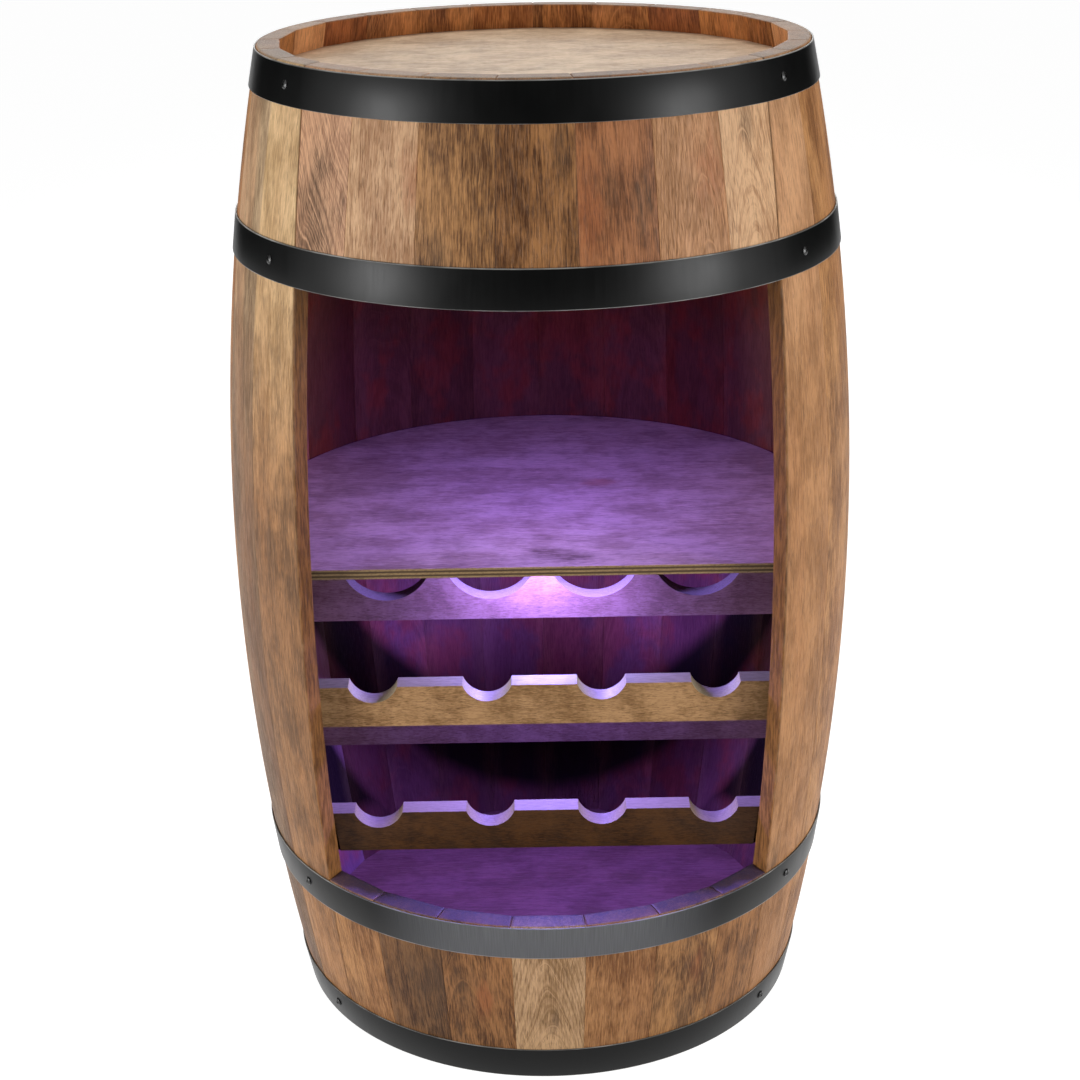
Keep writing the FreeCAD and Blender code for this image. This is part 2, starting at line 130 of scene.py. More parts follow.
def stave_section(stave, height, inset, groove):
    """Outline of a board at a height, with marks for worn arris, jamb and inner face at every point."""
    outer = radius_at(height) - inset - stave["sink"]
    flat = radius_at(height, stave_thickness) + inset
    facing = outward(stave["middle"])
    corners = []
    for point, direction, into in (stave["start"], stave["end"]):
        moved = point + into * inset
        skin = meets_circle(moved, direction, outer)
        depth = (flat - moved.dot(facing)) / direction.dot(facing)
        corners.append((skin, moved + direction * depth))
    (skin_start, flat_start), (skin_end, flat_end) = corners
    first = math.atan2(skin_start.x, -skin_start.y)
    last = math.atan2(skin_end.x, -skin_end.y)
    if last < first:
        last += 2 * math.pi
    rounds = [jamb_rounding * jamb_chips(height) if sawn else joint_rounding for sawn in stave["sawn"]]
    guards = [(radius + wear_width) / outer for radius in rounds]
    low, high = first + guards[0], last - guards[1]
    arc = [outward(low + (high - low) * step / outer_steps) * outer for step in range(outer_steps + 1)]
    sawn_start, sawn_end = map(float, stave["sawn"])
    outline = [(place, sawn_start, sawn_start, 0.0) for place in
               rounded_corner(flat_start, skin_start, arc[0], rounds[0])]
    outline += [(place, 0.0, 0.0, 0.0) for place in arc]
    outline += [(place, sawn_end, sawn_end, 0.0) for place in
                rounded_corner(arc[-1], skin_end, flat_end, rounds[1])]
    guard = skin_end + (flat_end - skin_end).normalized() * (rounds[1] + wear_width)
    outline.append((guard, 0.0, sawn_end, 0.0))
    inside = []
    for step, place in enumerate(rounded_corner(skin_end, flat_end, flat_start, joint_rounding)):
        inside.append((place, sawn_end, step / corner_steps if sawn_end else joint_highlight_wash_share))
    for step in range(1, inner_steps):
        inside.append((flat_end.lerp(flat_start, step / inner_steps), 0.0, 1.0))
    for step, place in enumerate(rounded_corner(flat_end, flat_start, skin_start, joint_rounding)):
        inside.append((place, sawn_start, 1 - step / corner_steps if sawn_start else joint_highlight_wash_share))
    for place, sawn, depth in inside:
        outline.append((place.normalized() * groove if groove else place, 0.0, sawn * (1 - depth), depth))
    guard = skin_start + (flat_start - skin_start).normalized() * (rounds[0] + wear_width)
    outline.append((guard, 0.0, sawn_start, 0.0))
    return outline


def stave_levels(bottom, top):
    """Heights of the outlines of a board: rounded ends, even steps and the grooves of the heads."""
    halfway = end_rounding * 0.3
    ends = [(0.0, end_rounding + wear_width, 1.0), (0.0, end_rounding, 1.0), (halfway, halfway, 0.6),
            (end_rounding, 0.0, 0.0)]
    levels = [(bottom + rise, inset, None, mark) for rise, inset, mark in ends]
    marks = []
    for node in ("bottom_head", "top_head"):
        low, high = (corner.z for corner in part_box(node))
        if bottom < low and high < top:
            middle = radius_at((low + high) / 2, stave_thickness)
            marks.append((low, high, middle + croze_depth))
    count = math.ceil((top - bottom) / level_step)
    heights = [bottom + (top - bottom) * step / count for step in range(1, count)]
    plain = [(height, 0.0, None, 0.0) for height in heights
             if all(not low - end_rounding < height < high + end_rounding for low, high, radius in marks)]
    for low, high, radius in marks:
        plain += [(height, 0.0, groove, 0.0) for height, groove in
                  ((low, None), (low, radius), (high, radius), (high, None))]
    levels += sorted(plain, key=lambda level: level[0])
    levels += [(top - rise, inset, None, mark) for rise, inset, mark in reversed(ends)]
    return levels


def shown(name, mesh, node, smooth_angle, body="cabinet"):
    """Shade a finished mesh smooth up to an angle and show it in place of its node, riding on a body."""
    mesh.polygons.foreach_set("use_smooth", [True] * len(mesh.polygons))
    mesh.set_sharp_from_angle(angle=math.radians(smooth_angle))
    piece = bpy.data.objects.new(name, mesh)
    bpy.context.scene.collection.objects.link(piece)
    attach(piece, body)
    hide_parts(node)
    return piece


def mesh_from(shell, name):
    """Finished mesh of a shell."""
    mesh = bpy.data.meshes.new(name)
    shell.to_mesh(mesh)
    shell.free()
    return mesh


def stave_mesh(name, stave):
    """Closed mesh of one board, with its wear, sawn ends, jamb and inner face marked in attributes."""
    shell = bmesh.new()
    finish = shell.verts.layers.float_vector.new("finish")
    inner = shell.verts.layers.float.new("inner_face")
    rings = []
    for height, inset, groove, end in stave_levels(stave["bottom"], stave["top"]):
        ring = []
        for place, wear, jamb, depth in stave_section(stave, height, inset, groove):
            corner = shell.verts.new((place.x, place.y, height))
            rim = 1.0 if 0.0 < inset <= end_rounding else 0.0
            corner[finish] = (max(wear, rim), end, jamb)
            corner[inner] = depth
            ring.append(corner)
        rings.append(ring)
    for lower, upper in zip(rings, rings[1:]):
        for index in range(len(lower)):
            following = (index + 1) % len(lower)
            shell.faces.new((lower[index], lower[following], upper[following], upper[index]))
    shell.faces.new(rings[0])
    shell.faces.new(rings[-1])
    bmesh.ops.recalc_face_normals(shell, faces=shell.faces)
    return mesh_from(shell, name)


def add(tree, kind, inputs=None, **settings):
    """Add a node, with its settings, and its inputs given as values or linked from sockets."""
    made = tree.nodes.new(kind)
    for name, value in settings.items():
        setattr(made, name, value)
    for key, value in (inputs or {}).items():
        socket = made.inputs[key]
        if isinstance(value, bpy.types.NodeSocket):
            tree.links.new(value, socket)
        else:
            socket.default_value = (*value, 1.0) if socket.type == "RGBA" else value
    return made


def result(tree, kind, inputs=None, **settings):
    """First output of a new node."""
    return add(tree, kind, inputs, **settings).outputs[0]


def tree_of(*values):
    """Tree that holds the first socket among some values."""
    return next(value.id_data for value in values if isinstance(value, bpy.types.NodeSocket))


def maths(operation, *values):
    """Result of a sum on numbers and sockets."""
    return result(tree_of(*values), "ShaderNodeMath", dict(enumerate(values)), operation=operation)


plus, less, times, times_plus, most = [
    partial(maths, operation) for operation in ("ADD", "SUBTRACT", "MULTIPLY", "MULTIPLY_ADD", "MAXIMUM")]


def mixed(share, first, second, blend="MIX"):
    """Colour between two colours."""
    tree = tree_of(share, first, second)
    inputs = {0: share, 6: first, 7: second}
    return add(tree, "ShaderNodeMix", inputs, data_type="RGBA", blend_type=blend).outputs[2]


def ranged(value, low, high, to_low=0.0, to_high=1.0):
    """A value eased from one range into another."""
    inputs = {"Value": value, "From Min": low, "From Max": high, "To Min": to_low, "To Max": to_high}
    return add(value.id_data, "ShaderNodeMapRange", inputs, interpolation_type="SMOOTHSTEP").outputs["Result"]


def split(vector):
    """The three parts of a vector."""
    return add(vector.id_data, "ShaderNodeSeparateXYZ", {0: vector}).outputs


def joined(*parts):
    """Vector from its parts."""
    return result(tree_of(*parts), "ShaderNodeCombineXYZ", dict(enumerate(parts)))


def shifted(place, offset):
    """Place moved by a vector."""
    return result(place.id_data, "ShaderNodeVectorMath", {0: place, 1: offset}, operation="ADD")


def span(across, along):
    """Length from its parts along two axes."""
    return maths("SQRT", plus(maths("POWER", across, 2.0), maths("POWER", along, 2.0)))


def noise(place, stretch, offset=(0, 0, 0), detail=2.0, roughness=0.5):
    """Noise with its own scale, per metre, along each axis."""
    tree = place.id_data
    scaled = result(tree, "ShaderNodeVectorMath", {0: place, 1: stretch, 2: offset}, operation="MULTIPLY_ADD")
    inputs = {"Vector": scaled, "Scale": 1.0, "Detail": detail, "Roughness": roughness}
    return result(tree, "ShaderNodeTexNoise", inputs)


def new_tree(kind, name, inputs, outputs):
    """Empty node tree with named sockets, the outputs of its input node, and its output node."""
    tree = bpy.data.node_groups.new(name, kind)
    for way, sockets in (("INPUT", inputs), ("OUTPUT", outputs)):
        for title, socket_kind in sockets.items():
            tree.interface.new_socket(title, in_out=way, socket_type="NodeSocket" + socket_kind)
    return tree, add(tree, "NodeGroupInput").outputs, add(tree, "NodeGroupOutput")


# Stained board: Grain is across the board, through it and along it, in metres. Figure turns straight
# grain into nested arches, Smoke lays on dark clouds and Blush warm ones, and a spot is one patch,
# given by its place across, its place along and its half width. Arch is the middle of the arches,
# their steepness and the share of dark ripples between them.
board_figure, sockets, figure_out = new_tree(
    "ShaderNodeTree", "board_figure",
    {"Grain": "Vector", "Pale": "Color", "Deep": "Color", "Warm": "Color", "Seed": "Float", "Figure": "Float",
     "Arch": "Vector", "Smoke": "Float", "Blush": "Float", "Dark Spot": "Vector", "Warm Spot": "Vector"},
    {"Color": "Color", "Roughness": "Float", "Height": "Float"})
spot_length_share = 2.4
smoke_tint = (0.085, 0.046, 0.024)
pore_tint = (0.06, 0.027, 0.011)


def board_spot(spot, across, along, ragged):
    """Soft patch with a ragged edge on a board."""
    place_across, place_along, half_width = split(spot)
    aside = maths("DIVIDE", less(across, place_across), half_width)
    beyond = maths("DIVIDE", less(along, place_along), times(half_width, spot_length_share))
    return ranged(times_plus(ragged, 2.2, span(aside, beyond)), 0.25, 1.1, 1.0, 0.0)


seed, figure = sockets["Seed"], sockets["Figure"]
board = shifted(sockets["Grain"], joined(*(times(seed, stride) for stride in (3.1, 1.7, 5.3))))
across, through, along = split(sockets["Grain"])
arch_middle, steepness, rippling = split(sockets["Arch"])
warp = less(noise(board, (11, 11, 3.2), detail=1.5), 0.5)
wander = less(noise(board, (34, 34, 13), (2, 6, 1), 3.0), 0.5)
bent = shifted(board, joined(times(wander, times_plus(figure, 0.012, 0.0014))))
straight = times_plus(across, 210.0, times(warp, 14.0))
from_arch = less(times_plus(warp, 0.016, across), arch_middle)
crown = times(maths("POWER", from_arch, 2.0), steepness)
arches = times_plus(along, 115.0, plus(crown, times_plus(warp, 30.0, times(wander, 3.5))))
lines = result(board_figure, "ShaderNodeMix", {0: figure, 2: straight, 3: arches}, data_type="FLOAT")
rings, ripple = [
    result(board_figure, "ShaderNodeTexNoise", {"W": place, "Scale": scale, "Detail": detail},
           noise_dimensions="1D")
    for place, scale, detail in ((times_plus(seed, 7.7, lines), 0.8, 1.5), (lines, 2.6, 1.0))]
fibre = noise(bent, (900, 900, 52), detail=3, roughness=0.7)
hairs = noise(bent, (1900, 1900, 110), (7, 4, 3), 2.0)
bands = noise(bent, (150, 150, 5), (1, 8, 5), 2.0)
clouds = noise(board, (30, 30, 17), detail=5, roughness=0.65)
pores = ranged(noise(bent, (1500, 1500, 110), (3, 2, 9), 1.0), 0.57, 0.7)
flecks = ranged(noise(bent, (1350, 1350, 70), (5, 1, 7), 1.0), 0.57, 0.7)
smoke = ranged(noise(board, (34, 34, 16), (4, 9, 2), 4.0, 0.6), 0.47, 0.66)
blush = ranged(noise(board, (26, 26, 5), (8, 3, 6), 3.0), 0.42, 0.62)
ragged = less(noise(board, (75, 75, 32), (6, 5, 4), 4.0, 0.6), 0.5)
dark_spot, warm_spot = [board_spot(sockets[title], across, along, ragged)
                        for title in ("Dark Spot", "Warm Spot")]
weights = ((rings, 0.35, 0.68, 0.17), (fibre, 0.36, 0.64, 0.52), (hairs, 0.34, 0.66, 0.34),
           (bands, 0.34, 0.66, 0.16), (clouds, 0.34, 0.66, 0.74))
shade = reduce(plus, [ranged(value, low, high, 0.0, weight) for value, low, high, weight in weights])
shade = less(shade, 0.46)
veins = times_plus(ranged(ripple, 0.44, 0.6, -0.25, 0.45), rippling, ranged(rings, 0.45, 0.62, -0.1, 0.16))
shade = times_plus(veins, figure, shade)
crest = maths("ABSOLUTE", less(maths("FRACT", times(lines, 0.37)), 0.5))
crest = times(ranged(crest, 0.0, 0.05, 0.7, 0.0), figure)
tint = mixed(shade, sockets["Pale"], sockets["Deep"])
warmth = most(times(blush, sockets["Blush"]), times(warm_spot, 0.62))
tint = mixed(warmth, tint, mixed(times(shade, 0.55), sockets["Warm"], sockets["Deep"]))
soot = most(times(smoke, sockets["Smoke"]), times(dark_spot, 0.66))
tint = mixed(times(soot, times_plus(shade, 0.6, 0.55)), tint, smoke_tint)
tint = mixed(most(crest, times(flecks, 0.42)), tint, sockets["Pale"])
tint = mixed(times(pores, 0.42), tint, pore_tint)
relief = less(times_plus(fibre, 0.6, rings), pores)
rough = ranged(fibre, 0.3, 0.7, 0.44, 0.62)
for title, value in {"Color": tint, "Height": relief, "Roughness": rough}.items():
    board_figure.links.new(value, figure_out.inputs[title])

stains = {
    "golden": ((0.7, 0.428, 0.236), (0.36, 0.182, 0.085)),
    "pinkish": ((0.68, 0.394, 0.228), (0.41, 0.212, 0.12)),
    "honey": ((0.62, 0.385, 0.2), (0.27, 0.15, 0.064)),
    "greyed": ((0.25, 0.139, 0.069), (0.095, 0.048, 0.022)),
    "fawn": ((0.495, 0.244, 0.103), (0.26, 0.117, 0.043)),
    "sand": ((0.57, 0.287, 0.134), (0.3, 0.14, 0.057)),
    "tan": ((0.52, 0.258, 0.102), (0.17, 0.068, 0.022)),
    "brown": ((0.49, 0.242, 0.09), (0.095, 0.037, 0.012)),
    "umber": ((0.39, 0.18, 0.066), (0.065, 0.024, 0.008)),
    "dusky": ((0.25, 0.121, 0.047), (0.042, 0.016, 0.006)),
    "russet": ((0.42, 0.17, 0.068), (0.12, 0.042, 0.014)),
}
warm_stain = (0.34, 0.105, 0.038)
edge_wear = (0.58, 0.38, 0.22)
rim_grain = (0.16, 0.118, 0.085)
# The sill's end grain is painted dark and violet, painted shade and glow of the shelf light; the corner
# boards' sills get a lighter painted violet glow.
sill_shade_glow_tint = (0.062, 0.042, 0.054)
sill_corner_glow_tint = (0.098, 0.072, 0.15)
# Sawn jamb faces: the first tone at the foot of the opening, the second, darker, at its top.
jamb_tones = ((0.215, 0.093, 0.027), (0.128, 0.053, 0.012))
# Washes of the inner walls above the shelf (bay) and below it (tiers), with smudges: their violet tint is
# painted glow of the push lights.
inner_glow_washes = {"bay": (0.58, 0.48, 0.8), "bay smudge": (0.88, 0.44, 0.6),
                "tiers": (0.46, 0.32, 1.08), "tiers smudge": (0.66, 0.3, 0.82)}
rim_stain = (1.32, 1.03, 0.78)

# Walls of the tiers carry painted rail shadows: they keep their violet wash, itself painted glow, above the
# first of three sloping planes, between the third and the second, and low beside the floor, as painted light;
# elsewhere they are painted nearly black, as the rear rails' shadows. A plane is its slope towards the back
# and the levels between which the wash changes.
painted_rail_shadow_planes = ((1.982, 0.538, 0.574), (2.165, 0.468, 0.502), (2.569, 0.386, 0.422))
painted_light_by_floor_levels = (0.06, 0.085)
painted_light_by_floor_depths = (0.12, 0.16)
painted_shadow_share = 0.06

# Tops of the first boards beside the opening carry painted light, growing lighter upwards: where it starts,
# and how much lighter it ends.
painted_top_lighted_level = 0.72
painted_top_lighted = {"stave_left_1_stain": (0.44, (1.62, 2.25, 2.9)),
            "stave_left_2_stain": (0.4, (2.2, 2.75, 3.3)),
            "stave_right_1_stain": (0.52, (1.32, 1.48, 1.8))}
head_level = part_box("top_head")[1].z
shelf_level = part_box("shelf")[1].z
no_spot = (1.0, 0.0, 0.01)
plain_arch = (0.0, 8000.0, 0.2)


def board_look(stain, seed, figure=0.1, smoke=0.1, blush=0.1, dark=no_spot, warm=no_spot, arch=plain_arch):
    """How one board is stained: its tone, its figure, its clouds and its spots."""
    pale, deep = stains[stain]
    return {"Pale": pale, "Deep": deep, "Warm": warm_stain, "Seed": seed, "Figure": figure, "Smoke": smoke,
            "Blush": blush, "Dark Spot": dark, "Warm Spot": warm, "Arch": arch}


def new_material(name):
    """Material with its Principled shader and Object coordinates."""
    made = bpy.data.materials.new(name)
    made.use_nodes = True
    nodes = made.node_tree.nodes
    return made, nodes["Principled BSDF"], add(made.node_tree, "ShaderNodeTexCoord").outputs["Object"]


def finished(surface, tint, roughness, height, strength, distance=0.0002, specular=0.5):
    """Give a Principled shader its colour, its roughness, its fine relief and its shine."""
    tree = surface.id_data
    bump = result(tree, "ShaderNodeBump", {"Strength": strength, "Distance": distance, "Height": height})
    for title, value in (("Base Color", tint), ("Roughness", roughness), ("Normal", bump)):
        tree.links.new(value, surface.inputs[title])
    surface.inputs["Specular IOR Level"].default_value = specular


def stave_material(name, middle, end_tint, look):
    """Stained board whose grain runs up the stave, darker inside, with worn arrises and sawn ends; its inner
    walls carry painted violet glow and painted rail shadows, and some tops painted light.
    """
    made, surface, place = new_material(name)
    tree = made.node_tree
    turned = result(tree, "ShaderNodeMapping", {"Vector": place, "Rotation": (0, 0, -middle)})
    across, away, height = split(turned)
    bow = maths("SQRT", less(bow_radius ** 2, maths("POWER", less(height, mid_height), 2.0)))
    inputs = dict(look, Grain=joined(across, plus(away, bow), height))
    board = add(tree, "ShaderNodeGroup", inputs, node_tree=board_figure).outputs
    wood = board["Color"]
    # Painted light: the top of this board is made lighter.
    if name in painted_top_lighted:
        painted_top_light_start, painted_top_light = painted_top_lighted[name]
        wood = mixed(ranged(height, painted_top_light_start, painted_top_lighted_level), wood, mixed(1.0, wood, painted_top_light, "MULTIPLY"))
    wear, end, jamb = split(add(tree, "ShaderNodeAttribute", attribute_name="finish").outputs["Vector"])
    inner = add(tree, "ShaderNodeAttribute", attribute_name="inner_face").outputs["Fac"]
    patches = ranged(noise(place, (120, 120, 70), detail=3), 0.44, 0.62)
    specks = noise(place, (420, 420, 55), detail=3, roughness=0.65)
    dashes = mixed(ranged(specks, 0.34, 0.66), (0.5, 0.46, 0.42), (1.5, 1.5, 1.5))
    sawn = mixed(1.0, mixed(ranged(height, opening_bottom, opening_top), *jamb_tones), dashes, "MULTIPLY")
    above_head = maths("GREATER_THAN", height, head_level)
    above_shelf = maths("GREATER_THAN", height, shelf_level)
    smudges = ranged(noise(place, (20, 20, 13), detail=4, roughness=0.6), 0.48, 0.62)
    # Painted light and painted shadows of the rear rails on the tier walls, laid by height and depth.
    depth = split(place)[1]
    painted_light_above_shadow, above_painted_shadow_foot, above_painted_light_foot = [ranged(times_plus(depth, steep, height), low, high)
                                             for steep, low, high in painted_rail_shadow_planes]
    painted_light_between = times(above_painted_light_foot, less(1.0, above_painted_shadow_foot))
    painted_light_by_floor = times(ranged(height, *painted_light_by_floor_levels, 1.0, 0.0),
                         ranged(depth, *painted_light_by_floor_depths, 1.0, 0.0))
    painted_light_share = most(most(painted_light_above_shadow, painted_light_between), most(painted_light_by_floor, painted_shadow_share))
    bay, tiers = [mixed(smudges, inner_glow_washes[room], inner_glow_washes[room + " smudge"])
                  for room in ("bay", "tiers")]
    tiers = mixed(painted_light_share, (0, 0, 0), tiers)
    # Inner wash: painted violet glow and painted shadows below the head, the rim's stain above it.
    wash = mixed(above_head, mixed(above_shelf, tiers, bay), rim_stain)
    even = [(pale + deep) / 2 for pale, deep in zip(look["Pale"], look["Deep"])]
    dulled = mixed(times_plus(above_head, -0.6, 0.6), board["Color"], even)
    tint = mixed(inner, wood, mixed(1.0, dulled, wash, "MULTIPLY"))
    tint = mixed(times(jamb, 0.92), tint, sawn)
    crossed = mixed(ranged(specks, 0.34, 0.66, 0.0, 0.2), end_tint, board["Color"])
    tint = mixed(times(end, 0.85), tint, crossed)
    tint = mixed(times(wear, times(patches, times_plus(end, -0.06, 0.12))), tint, edge_wear)
    finished(surface, tint, board["Roughness"], board["Height"], strength=0.45, distance=0.0005, specular=0.2)
    return made


def make_stave(name, middle, start, end, bottom, top, sawn, end_tint, look):
    """Build one board between two joint faces and give it its own stain."""
    stave = {"middle": middle, "start": start, "end": end, "bottom": bottom, "top": top, "sawn": sawn,
             "sink": sink_step * (look["Seed"] % 3)}
    mesh = stave_mesh(name + "_board", stave)
    mesh.materials.append(stave_material(name + "_stain", middle, end_tint, look))
    shown(name + "_board", mesh, name, 38)


# Looks of the boards: on each side from the jamb to the back, and at the front from left to right.
side_looks = {
    "left": [
        # The first left board's wide dark spot darkens its lower part: partly dark smudges in the wood,
        # partly painted shade below its lighter top.
        board_look("fawn", 11, 0.1, 0.06, 0.12, dark=(0.01, 0.33, 0.115)),
        board_look("greyed", 5, 0.2, 0.05, 0.25),
        board_look("tan", 8, 0.2, 0.15, 0.3),
        board_look("brown", 2, 0.6, 0.3, 0.2),
        board_look("golden", 23, 0.15, 0.1, 0.1),
        board_look("russet", 14, 0.3, 0.2, 0.3),
        board_look("tan", 29, 0.7, 0.35, 0.15, warm=(0.006, 0.55, 0.009)),
        board_look("brown", 17, 0.1, 0.25, 0.3),
        board_look("tan", 32, 0.4, 0.2, 0.2),
    ],
    "right": [
        board_look("fawn", 4, 0.14, 0.14, 0.14, dark=(-0.025, 0.17, 0.01)),
        board_look("tan", 19, 0.2, 0.1, 0.2),
        board_look("tan", 26, 0.45, 0.2, 0.2),
        board_look("golden", 35, 0.25, 0.1, 0.15),
        board_look("brown", 38, 0.55, 0.3, 0.25, warm=(-0.008, 0.3, 0.008)),
        board_look("tan", 41, 0.2, 0.15, 0.3),
        board_look("russet", 44, 0.25, 0.2, 0.3),
        board_look("tan", 47, 0.65, 0.25, 0.1),
        board_look("brown", 50, 0.2, 0.2, 0.2),
    ],
}
upper_looks = [
    board_look("pinkish", 3, 1.0, 0.1, 0.1, dark=(0.0, 0.698, 0.027), arch=(-0.018, 1700, 1.0)),
    board_look("golden", 9, 0.08, 0.0, 0.1, warm=(0.026, 0.73, 0.012)),
    board_look("brown", 12, 0.06, 0.12, 0.0, dark=(-0.01, 0.682, 0.013)),
    board_look("umber", 21, 0.15, 0.08, 0.0, dark=(0.016, 0.752, 0.009)),
    board_look("russet", 6, 0.2, 0.4, 0.0, dark=(0.018, 0.715, 0.01), warm=(-0.019, 0.715, 0.017)),
    board_look("sand", 15, 0.9, 0.0, 0.0, warm=(0.016, 0.725, 0.017), arch=(0.013, 17000, 0.1)),
    board_look("golden", 18, 0.9, 0.0, 0.0, dark=(-0.002, 0.757, 0.007), arch=(0.002, 11000, 0.3)),
]
lower_looks = [
    board_look("tan", 24, 0.1, 0.2, 0.1),
    board_look("dusky", 27, 0.15, 0.75, 0.05, dark=(0.018, 0.085, 0.018)),
    board_look("umber", 30, 0.5, 0.55, 0.05, dark=(-0.014, 0.088, 0.016), warm=(0.003, 0.08, 0.009)),
    board_look("honey", 33, 0.85, 0.0, 0.0, dark=(0.004, 0.06, 0.006), arch=(0.0, 9000, 0.3)),
    board_look("tan", 36, 0.08, 0.15, 0.15),
    board_look("brown", 39, 0.4, 0.45, 0.05, dark=(0.002, 0.045, 0.012), warm=(0.01, 0.095, 0.009)),
    board_look("umber", 42, 0.3, 0.3, 0.05),
]

side_stave_angle = (math.pi - jamb_angle(belly_radius)) / side_stave_count


def stave_angles(number):
    """Near edge, middle and far edge of a full stave, as angles from the front, counted from the jamb."""
    far = math.pi - (side_stave_count - number) * side_stave_angle
    near = jamb_angle(radius_at(0)) if number == 1 else far - side_stave_angle
    return near, (near + far) / 2, far


for side_name, side in sides.items():
    for number in range(1, side_stave_count + 1):
        near, middle_angle, far = stave_angles(number)
        sawn = number == 1
        near_face = jamb_face(side, 1) if sawn else joint_face(side * near, side)
        far_face = joint_face(side * far, -side)
        make_stave("stave_%s_%d" % (side_name, number), side * middle_angle, *(near_face, far_face)[::side],
                   0.0, barrel_height, (sawn, False)[::side], rim_grain, side_looks[side_name][number - 1])

front_stave_angle = 2 * jamb_angle(radius_at(0)) / front_stave_count
for index in range(front_stave_count):
    near = (index - front_stave_count / 2) * front_stave_angle
    far = near + front_stave_angle
    near_face = jamb_face(-1, -1) if index == 0 else joint_face(near, 1)
    far_face = jamb_face(1, -1) if index == front_stave_count - 1 else joint_face(far, -1)
    for row, bottom, top, end_tint, looks in (("upper", opening_top, barrel_height, rim_grain, upper_looks),
                                              ("lower", 0.0, opening_bottom, sill_shade_glow_tint, lower_looks)):
        # The two outer sills get painted violet glow.
        if row == "lower" and index in (0, front_stave_count - 1):
            end_tint = sill_corner_glow_tint
        make_stave("%s_stave_%d" % (row, index + 1), (near + far) / 2, near_face, far_face, bottom, top,
                   (False, False), end_tint, looks[index])

# Heads: two round boards of edge-glued timber let into grooves near the ends of the staves.
# The upper one is the table top and is stained pale; the lower one closes the barrel's foot.
merge_distance = 1e-6
flat_angle = math.radians(0.5)
rounded_angle = math.radians(50)


def merged_copy(node, name, material, body="cabinet"):
    """Clean copy of a CAD node: doubles merged, flat faces joined, round faces shaded smooth."""
    shell = bmesh.new()
    shell.from_mesh(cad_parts[node].data)
    bmesh.ops.remove_doubles(shell, verts=shell.verts, dist=merge_distance)
    bmesh.ops.dissolve_limit(shell, angle_limit=flat_angle, verts=shell.verts, edges=shell.edges)
    mesh = mesh_from(shell, name)
    mesh.materials.append(material)
    return shown(name, mesh, node, 32, body)


def round_edges(piece, width):
    """Small round along the sharp edges of a piece."""
    rounding = piece.modifiers.new("edge_round", "BEVEL")
    rounding.width = width
    rounding.segments = 2
    rounding.limit_method = "ANGLE"
    rounding.angle_limit = rounded_angle


def upward_part(tree):
    """How far a face looks up, from minus one to one."""
    return split(add(tree, "ShaderNodeNewGeometry").outputs["True Normal"])[2]


def board_material(name, look, order=(1, 2, 0), centre=(0, 0, 0), specular=0.3, shorten=1.0, painted_rail_top_tint=None):
    """Stained flat board whose grain runs along X, drawn shorter for open-pored timber; faces that look up
    may get a lighter tint, which is painted light.
    """
    made, surface, place = new_material(name)
    tree = made.node_tree
    start = (-centre[0] * shorten, -centre[1], -centre[2])
    axes = split(result(tree, "ShaderNodeMapping",
                        {"Vector": place, "Scale": (shorten, 1, 1), "Location": start}))
    inputs = dict(look, Grain=joined(*(axes[axis] for axis in order)))
    board = add(tree, "ShaderNodeGroup", inputs, node_tree=board_figure).outputs
    tint = board["Color"]
    # Painted light: faces that look up get the lighter top tint, in streaks.
    if painted_rail_top_tint:
        streaked_rail_top_tint = mixed(ranged(board["Roughness"], 0.44, 0.62), painted_rail_top_tint, [0.75 * part for part in painted_rail_top_tint])
        tint = mixed(ranged(upward_part(tree), 0.15, 0.45), tint, streaked_rail_top_tint)
    finished(surface, tint, board["Roughness"], board["Height"], strength=0.35, distance=0.0004,
             specular=specular)
    return made


stains["head"] = ((0.62, 0.452, 0.3), (0.35, 0.228, 0.136))
stains["floor"] = ((0.215, 0.08, 0.09), (0.125, 0.042, 0.046))
head_looks = {
    "top_head": ("head_wood", board_look("head", 7, 0.05, 0.22, 0.08)),
    "bottom_head": ("floor_wood", board_look("floor", 13, 0.05, 0.15, 0.05)),
}
for node, (slot, look) in head_looks.items():
    merged_copy(node, node + "_board", board_material(node + "_stain", look, shorten=1.4))

# Hoops: four flat steel bands, satin black, driven over the taper of the barrel.
# Each is closed by a short lap at the back; their arrises are rounded by rolling.
hoop_width = 0.0295
hoop_thickness = 0.0012
hoop_clearance = 0.0001
hoop_rounding = 0.0004
end_hoop_inset = 0.001
middle_hoop_inset = 0.1255
hoop_lap = math.radians(12)
hoop_bottoms = {
    "bottom_hoop": end_hoop_inset,
    "lower_hoop": middle_hoop_inset,
    "upper_hoop": barrel_height - middle_hoop_inset - hoop_width,
    "top_hoop": barrel_height - end_hoop_inset - hoop_width,
}


def hoop_seat(bottom):
    """Middle of a hoop's inner face as radius and height, and the slope of its outward direction."""
    low = radius_at(bottom) + hoop_clearance
    high = radius_at(bottom + hoop_width) + hoop_clearance
    slope = math.atan2(low - high, hoop_width)
    return (low + high) / 2, bottom + hoop_width / 2, slope


